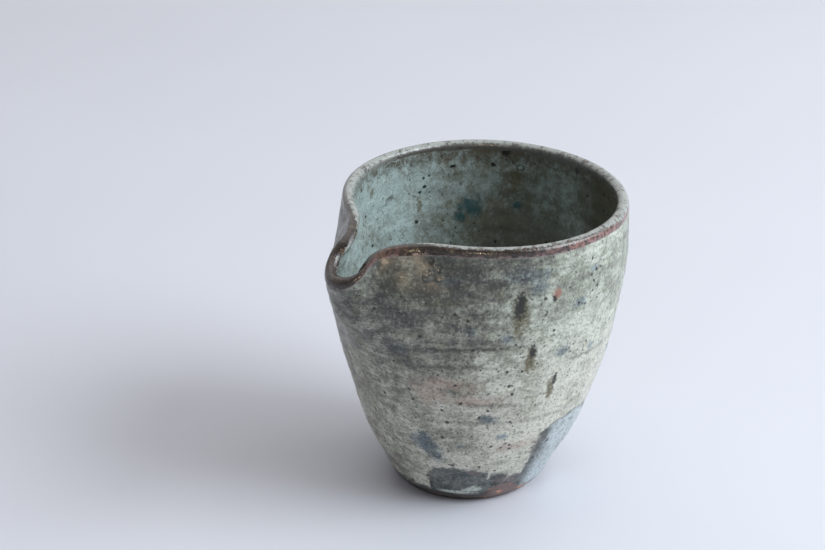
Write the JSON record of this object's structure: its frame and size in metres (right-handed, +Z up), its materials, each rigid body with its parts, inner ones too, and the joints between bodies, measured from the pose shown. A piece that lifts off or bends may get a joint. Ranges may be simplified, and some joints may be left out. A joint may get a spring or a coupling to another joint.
{
  "type": "spouted bowl",
  "caption": "Wheel-thrown stoneware pouring bowl with a pulled spout, glazed inside and out, standing on a flat bare foot.",
  "frame": {"origin": "centre of the flat foot, on the surface that the bowl stands on", "axes": "+Z up, -Y towards the tip of the spout, +X to the right of a viewer who faces the spout and looks along +Y"},
  "size_m": [0.094, 0.1079, 0.097],
  "materials": {
    "bare_clay": "unglazed iron-bearing stoneware, matt, dark brown",
    "outer_glaze": "glossy grey-green glaze over white slip, with iron specks and blue-grey clouds",
    "inner_glaze": "glossy pale celadon glaze with fine crackle and iron specks",
    "lip_glaze": "glossy iron-brown lip, where the glaze has run thin"
  },
  "bodies": {
    "root": {"clay_body": "bare_clay", "outer_glaze": "outer_glaze", "inner_glaze": "inner_glaze", "lip_glaze": "lip_glaze"}
  },
  "joints": []
}
